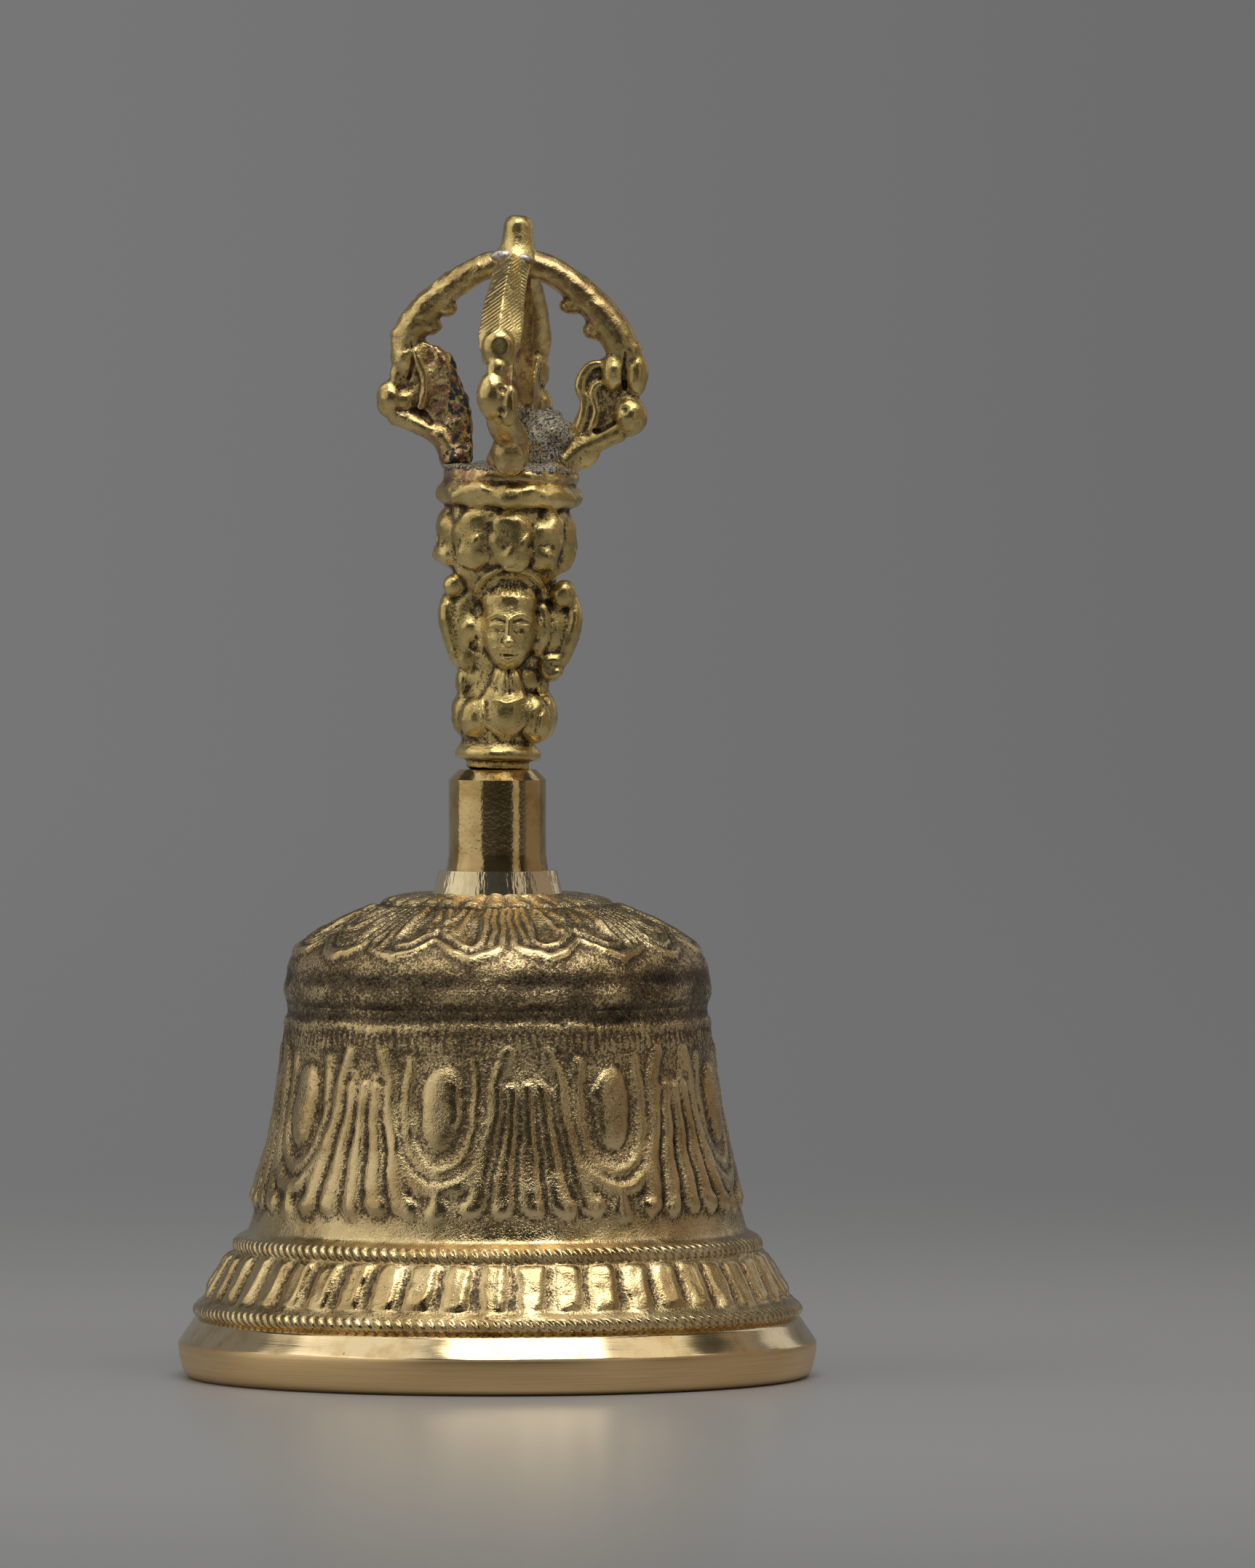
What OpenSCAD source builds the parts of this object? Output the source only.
// Hand bell with a half-vajra handle. Millimetres, +Z up, mouth on z = 0, face towards -Y.

/* [Bell cup] */
// Outer diameter at the widest point of the sound bow
mouth_d = 95; // [70:1:130]
// Height from the mouth to the flat on top of the crown
body_h = 71.7; // [55:0.5:95]
// Wall thickness at the waist
wall = 3.6; // [2.5:0.1:5]
// Wall thickness at the sound bow
bow_wall = 5.6; // [4:0.1:8]
// Thickness of the crown under the collar
crown_wall = 3.5; // [2.5:0.1:5]
// Number of bars in the fence band above the sound bow
fence_bars = 48; // [24:1:60]
// Number of cartouches with a jewel around the waist
cartouches = 8; // [6:1:10]
// Turn of the cartouche ring away from the face
cartouche_turn = -14; // [-22:1:22]

/* [Collar and sleeve] */
// Collar diameter where it rests on the crown
collar_d = 19.4; // [16:0.2:24]
// Collar diameter at its top edge
collar_top_d = 17.6; // [15:0.2:22]
// Collar height
collar_h = 3.6; // [2:0.1:6]
// Sleeve diameter
sleeve_d = 14.5; // [12:0.1:16]
// Sleeve height
sleeve_h = 15; // [10:0.5:22]
// Chamfer on the sleeve's top edge
sleeve_chamfer = 1.5; // [0.5:0.1:2.5]

/* [Handle] */
// Diameter of the spigot that passes through the sleeve and collar
spigot_d = 8.8; // [6:0.1:10]
// Visible gap between the sleeve and the handle's foot ring
spigot_gap = 1.6; // [0.5:0.1:4]
// Lean of the handle towards +X
lean = 2.2; // [0:0.1:4]
// Height of the handle casting above the sleeve, to the top of the capital
casting_h = 45.2; // [38:0.2:55]
// Diameter of the capital that carries the prongs
capital_d = 21.8; // [18:0.2:26]

/* [Crown prongs] */
// Turn of the prong set about the handle
crown_turn = -7; // [-45:1:45]
// Distance from the handle axis to the outside of a prong's snout
prong_reach = 20.2; // [16:0.2:24]
// Radius of the prong arm's curve, on its centreline
arm_curve = 15; // [12:0.2:18]
// Thickness of the prong arm
arm_d = 3.6; // [2.5:0.1:5]
// Diameter of the snout ball
snout_d = 6; // [4:0.2:8]
// Diameter of the centre shaft
shaft_d = 4; // [3:0.1:5]
// Height of the centre shaft above the capital
shaft_h = 36.4; // [30:0.2:44]
// Diameter of the solder ring at the prong ends
solder_d = 7; // [6:0.1:9]

/* [Clapper] */
// Diameter of the eye bolt's thread
bolt_d = 3; // [2.5:0.1:4]
// Wire diameter of the eye
eye_wire = 2.2; // [1.6:0.1:3]
// Wire diameter of the ring link
link_wire = 1.6; // [1:0.1:2]
// Wire diameter of the clapper's loop
loop_wire = 2; // [1.4:0.1:2.6]
// Diameter of the clapper bob
bob_d = 13; // [9:0.5:16]
// Height of the bob's centre above the mouth
bob_z = 13; // [9:0.5:20]
// Running gap between wires that hang on each other
running_gap = 0.1; // [0.05:0.05:0.3]

/* [Hidden] */
$fa = 4;
$fs = 0.3;

// Colours
cast_brass = [0.58, 0.45, 0.24];
turned_brass = [0.82, 0.68, 0.40];
solder_grey = [0.74, 0.73, 0.68];
steel_grey = [0.55, 0.55, 0.54];
iron_grey = [0.30, 0.29, 0.28];

// The outlines below are drawn for a 95 mm mouth and a 71.7 mm body, then scaled to the sizes above
wide = mouth_d / 95;
tall = body_h / 71.7;

// Heights up the bell and handle
collar_top_z = body_h + collar_h;
sleeve_top_z = collar_top_z + sleeve_h;
foot_z = sleeve_top_z + spigot_gap;
capital_top_z = sleeve_top_z + casting_h;
shaft_top_z = capital_top_z + shaft_h;

// Clapper train, from the crown down
washer_h = 1;
washer_d = 11;
nut_h = 3;
nut_flats = 5.5;
eye_r = 3.3;
link_r = 3.6;
loop_r = 2.6;
crown_inner_z = body_h - crown_wall;
washer_z = crown_inner_z - washer_h;
nut_z = washer_z - nut_h;
eye_z = nut_z - 0.5 - eye_wire / 2 - eye_r;
eye_bottom_z = eye_z - eye_r;
link_top_z = eye_bottom_z + (eye_wire + link_wire) / 2 + running_gap;
link_z = link_top_z - link_r;
link_bottom_z = link_z - link_r;
loop_top_z = link_bottom_z + (link_wire + loop_wire) / 2 + running_gap;
loop_z = loop_top_z - loop_r;
bolt_end_z = body_h + 12;
rod_d = 3;
bob_bore_d = 2.4;

// Crown prongs, measured from the handle axis and the top of the capital
arm_x = prong_reach - arm_d / 2 - arm_curve - 0.9;
arm_z = 13.8;
snout_x = prong_reach - snout_d / 2;
snout_z = 9.1;
strut_bend_x = 11.6;
strut_bend_z = 3.4;
prong_foot_x = 7.6;
prong_foot_z = 1.6;

// A smooth curve through the given points, with `steps` short sides between each pair
function between(a, b, c, d, t) =
    0.5 * (2 * b + (c - a) * t
           + (2 * a - 5 * b + 4 * c - d) * t * t
           + (3 * b - a - 3 * c + d) * t * t * t);
function smooth(p, steps) = concat(
    [for (i = [0 : len(p) - 2])
        for (s = [0 : steps - 1])
            between(p[max(i - 1, 0)], p[i], p[i + 1], p[min(i + 2, len(p) - 1)], s / steps)],
    [p[len(p) - 1]]);

// Outer outline of the cup from the mouth to the collar: radius, height
cup_outer = smooth([
    [45.6, 0], [47.2, 2.2], [47.5, 5.2], [46.2, 7],
    [44.6, 8.6], [44.5, 10.5], [42.6, 14.5], [39.6, 18.5],
    [37.4, 21.4], [36, 26], [34.4, 35], [32.6, 46],
    [31.4, 56.5], [30.8, 61.6], [28.4, 65.2], [23, 68.4], [15.5, 71.2], [11, 71.7]], 3);

// Inner outline of the cup from the mouth to the crown
bow_inner_r = 47.5 - bow_wall;
cup_inner = smooth([
    [bow_inner_r + 0.6, 0], [bow_inner_r, 1.6], [bow_inner_r - 0.6, 6],
    [40.6 - (wall - 3.6), 11], [37 - (wall - 3.6), 17],
    [33.6 - (wall - 3.6), 23], [31.6 - (wall - 3.6), 30],
    [29.8 - (wall - 3.6), 42], [28 - (wall - 3.6), 55],
    [26.4 - (wall - 3.6), 61.5], [21, 66.2], [14, 68.1], [9, 68.2]], 3);

module revolve_outline(outline) {
    rotate_extrude($fn = 120)
        polygon(outline);
}

// A rounded ring around the cup
module cup_ring(r, z, thick) {
    translate([0, 0, z * tall])
        rotate_extrude($fn = 120)
            translate([r * wide, 0])
                circle(d = thick, $fn = 24);
}

module cup_blank() {
    revolve_outline(concat(
        [[0, 0]],
        [for (p = cup_outer) [p[0] * wide, p[1] * tall]],
        [[0, body_h]]));
}

module cup_hollow() {
    revolve_outline(concat(
        [[0, -1], [(bow_inner_r + 0.6) * wide, -1]],
        [for (p = cup_inner) [p[0] * wide, min(p[1] * tall, crown_inner_z)]],
        [[0, crown_inner_z]]));
}

// Upright bars that follow the slope of the fence band
module fence_band() {
    low = [44.4, 11.6];
    high = [40.1, 18.2];
    slope = atan2(low[0] - high[0], high[1] - low[1]);
    for (i = [0 : fence_bars - 1])
        rotate([0, 0, i * 360 / fence_bars])
            translate([low[0] * wide, 0, low[1] * tall])
                rotate([0, -slope, 0])
                    cylinder(d = 2.2, h = 7.8 * tall, $fn = 12);
}

// U-shaped ridge with two legs and a jewel inside it
module cartouche() {
    jewel_z = 42.3 * tall;
    wall_r = 33.3 * wide;
    bend_r = 7.6;
    ridge_d = 2.2;
    leg_h = 6.5;
    leg_turn = asin(bend_r / wall_r);
    translate([wall_r - 0.6, 0, jewel_z])
        sphere(d = 4.6);
    translate([wall_r - 0.5, 0, jewel_z - 1])
        rotate([0, -8, 0])
            rotate([0, 90, 0])
                rotate([0, 0, -90])
                    rotate_extrude(angle = 180, $fn = 48)
                        translate([bend_r, 0])
                            circle(d = ridge_d, $fn = 16);
    for (side = [-1, 1])
        rotate([0, 0, side * leg_turn])
            translate([wall_r - 0.2, 0, jewel_z - 2])
                rotate([0, -4, 0])
                    cylinder(d = ridge_d, h = leg_h, $fn = 16);
}

module bell_cup() {
    color(cast_brass)
    difference() {
        union() {
            cup_blank();
            cup_ring(44.9, 10, 2.4);
            cup_ring(38.6, 19.9, 2.4);
            cup_ring(30, 58.8, 3.8);
            cup_ring(31.3, 54.6, 1.4);
            fence_band();
            for (i = [0 : cartouches - 1])
                rotate([0, 0, -90 + cartouche_turn + i * 360 / cartouches])
                    cartouche();
        }
        cup_hollow();
        cylinder(d = bolt_d + 0.4, h = body_h + 5, $fn = 32);
    }
}

module crown_collar() {
    color(turned_brass)
    difference() {
        translate([0, 0, body_h])
            cylinder(d1 = collar_d, d2 = collar_top_d, h = collar_h, $fn = 96);
        translate([0, 0, body_h - 1])
            cylinder(d = spigot_d + 0.1, h = collar_h + 2, $fn = 64);
    }
}

module neck_sleeve() {
    flare = 0.35;
    color(turned_brass)
    translate([0, 0, collar_top_z])
        rotate_extrude($fn = 96)
            polygon([
                [spigot_d / 2 + 0.05, 0],
                [sleeve_d / 2 + flare, 0],
                [sleeve_d / 2, 2.4],
                [sleeve_d / 2, sleeve_h - sleeve_chamfer],
                [sleeve_d / 2 - sleeve_chamfer, sleeve_h],
                [spigot_d / 2 + 0.05, sleeve_h]]);
}

// Everything above the sleeve is turned by the lean about the sleeve's top
module leaned() {
    translate([0, 0, sleeve_top_z])
        rotate([0, lean, 0])
            translate([0, 0, -sleeve_top_z])
                children();
}

// Foot ring, vase, core of the head and neck of the capital, in heights above the sleeve
handle_outline = smooth([
    [4.4, 1.6], [6.1, 2.1], [6, 4], [5.6, 4.9], [7.4, 6.6],
    [8.1, 8.8], [7.6, 11], [6.6, 13], [6.4, 18], [6.6, 24],
    [8.2, 28.4], [9.2, 31], [9.4, 35.5], [8.8, 38.6], [9.4, 40.2]], 3);

module ring_of_balls(count, r, z, d) {
    for (i = [0 : count - 1])
        rotate([0, 0, i * 360 / count])
            translate([r, 0, z])
                sphere(d = d, $fn = 24);
}

// Mirrored pair of balls either side of the face
module ball_pair(x, y, z, d) {
    for (side = [-1, 1])
        translate([side * x, y, z])
            sphere(d = d, $fn = 32);
}

module handle_head() {
    translate([0, -3.6, 22.8])
        sphere(d = 10.6, $fn = 48);
    translate([0, -2.4, 27.4])
        sphere(d = 9, $fn = 48);
    ball_pair(5.6, -5, 23, 3.4);
    ball_pair(8.2, -0.6, 25, 6);
    ball_pair(7.6, -0.8, 20, 5.4);
    ball_pair(5.6, -2.6, 15.8, 5.4);
    translate([0, -3.8, 23.5])
        rotate([90, 0, 0])
            rotate_extrude(angle = 180, $fn = 64)
                translate([7.2, 0])
                    circle(d = 2.4, $fn = 20);
}

module handle_casting() {
    capital_r = capital_d / 2;
    color(cast_brass)
    difference() {
        union() {
            translate([0, 0, body_h])
                cylinder(d = spigot_d, h = foot_z - body_h + 1.5, $fn = 64);
            leaned()
                translate([0, 0, sleeve_top_z]) {
                    rotate_extrude($fn = 72)
                        polygon(concat([[0, 1.6]], handle_outline, [[0, 40.2]]));
                    handle_head();
                    ring_of_balls(14, 8.6, 33.2, 4.6);
                    ring_of_balls(14, 7.9, 36.4, 4.2);
                    translate([0, 0, casting_h - 5.4])
                        cylinder(r = capital_r - 1.2, h = 5.4, $fn = 72);
                    translate([0, 0, casting_h - 2.7])
                        rotate_extrude($fn = 72)
                            translate([capital_r - 2.1, 0])
                                circle(d = 4.2, $fn = 24);
                }
        }
        translate([0, 0, body_h - 1])
            cylinder(d = bolt_d, h = bolt_end_z - body_h + 2, $fn = 32);
        leaned()
            translate([0, 0, capital_top_z - 3])
                cylinder(d = shaft_d, h = 5, $fn = 48);
    }
}

// A prong in its own plane: +X outwards, z = 0 on top of the capital
module prong() {
    difference() {
        union() {
            translate([arm_x, 0, arm_z])
                rotate([90, 0, 0])
                    rotate_extrude(angle = 96, $fn = 96)
                        translate([arm_curve, 0])
                            circle(d = arm_d, $fn = 24);
            translate([snout_x, 0, snout_z])
                sphere(d = snout_d, $fn = 48);
            translate([snout_x + 0.2, 0, snout_z + 5.6])
                sphere(d = arm_d + 1.4, $fn = 32);
            bar([snout_x, snout_z + 4.6], [snout_x, snout_z], arm_d - 0.5);
            bar([snout_x, snout_z], [strut_bend_x, strut_bend_z], 4);
            bar([strut_bend_x, strut_bend_z], [prong_foot_x, prong_foot_z], 4);
            translate([strut_bend_x, 0, strut_bend_z])
                sphere(d = 4.8, $fn = 32);
            translate([prong_foot_x, 0, prong_foot_z])
                sphere(d = 5.2, $fn = 32);
        }
        translate([0, 0, -10])
            cylinder(r = 40, h = 10, $fn = 48);
        translate([0, 0, -1])
            cylinder(d = solder_d, h = 60, $fn = 64);
    }
}

// A round bar from one point to another in the prong's plane
module bar(a, b, d) {
    run = b - a;
    translate([a[0], 0, a[1]])
        rotate([0, atan2(run[0], run[1]), 0])
            cylinder(d = d, h = norm(run), $fn = 32);
}

module crown_prong(turn) {
    color(cast_brass)
    leaned()
        translate([0, 0, capital_top_z])
            rotate([0, 0, crown_turn + turn])
                prong();
}

module prong_front() crown_prong(-90);
module prong_back() crown_prong(90);
module prong_left() crown_prong(180);
module prong_right() crown_prong(0);

module centre_prong() {
    shaft_r = shaft_d / 2;
    color(cast_brass)
    leaned()
        translate([0, 0, capital_top_z])
            rotate_extrude($fn = 64)
                polygon(concat(
                    [[0, -3], [shaft_r, -3], [shaft_r, 3.2]],
                    smooth([[shaft_r + 0.6, 4], [3.1, 8], [2.4, 13], [shaft_r, 18], [shaft_r, 20]], 3),
                    [for (a = [0 : 15 : 90])
                        [shaft_r * cos(a), shaft_h - shaft_r + shaft_r * sin(a)]]));
}

module solder_joint() {
    low = arm_z + arm_curve - 2.6;
    high = arm_z + arm_curve + 3.2;
    color(solder_grey)
    leaned()
        translate([0, 0, capital_top_z])
            rotate_extrude($fn = 64)
                polygon([
                    [shaft_d / 2, low],
                    [solder_d / 2, low],
                    [solder_d / 2, high - 1.8],
                    [solder_d / 2 - 0.7, high - 0.6],
                    [shaft_d / 2, high]]);
}

module eye_bolt() {
    color(steel_grey)
    union() {
        translate([0, 0, eye_z])
            rotate([90, 0, 0])
                rotate_extrude($fn = 64)
                    translate([eye_r, 0])
                        circle(d = eye_wire, $fn = 24);
        translate([0, 0, eye_z + eye_r])
            cylinder(d = bolt_d, h = bolt_end_z - eye_z - eye_r, $fn = 32);
    }
}

module lock_nut() {
    color(steel_grey)
    translate([0, 0, nut_z])
        difference() {
            cylinder(d = nut_flats / cos(30), h = nut_h, $fn = 6);
            translate([0, 0, -1])
                cylinder(d = bolt_d, h = nut_h + 2, $fn = 32);
        }
}

module washer() {
    color(steel_grey)
    translate([0, 0, washer_z])
        difference() {
            cylinder(d = washer_d, h = washer_h, $fn = 64);
            translate([0, 0, -1])
                cylinder(d = bolt_d + 0.2, h = washer_h + 2, $fn = 32);
        }
}

module clapper_link() {
    color(steel_grey)
    translate([0, 0, link_z])
        rotate([0, 90, 0])
            rotate_extrude($fn = 64)
                translate([link_r, 0])
                    circle(d = link_wire, $fn = 20);
}

module clapper_shank() {
    rod_top = loop_z - loop_r;
    bob_top = bob_z + bob_d / 2;
    color(iron_grey)
    union() {
        translate([0, 0, loop_z])
            rotate([90, 0, 0])
                rotate_extrude($fn = 64)
                    translate([loop_r, 0])
                        circle(d = loop_wire, $fn = 24);
        translate([0, 0, bob_top])
            cylinder(d = rod_d, h = rod_top - bob_top, $fn = 32);
        translate([0, 0, bob_z - bob_d / 2 + 0.4])
            cylinder(d = bob_bore_d, h = bob_d, $fn = 32);
    }
}

module clapper_bob() {
    bob_r = bob_d / 2;
    color(iron_grey)
    translate([0, 0, bob_z])
        difference() {
            rotate_extrude($fn = 72)
                polygon([for (a = [-90 : 7.5 : 90])
                    [bob_r * cos(a), bob_r * sin(a)]]);
            translate([0, 0, -bob_d])
                cylinder(d = bob_bore_d, h = bob_d * 2, $fn = 32);
        }
}

bell_cup();
crown_collar();
neck_sleeve();
handle_casting();
prong_front();
prong_back();
prong_left();
prong_right();
centre_prong();
solder_joint();
eye_bolt();
lock_nut();
washer();
clapper_link();
clapper_shank();
clapper_bob();
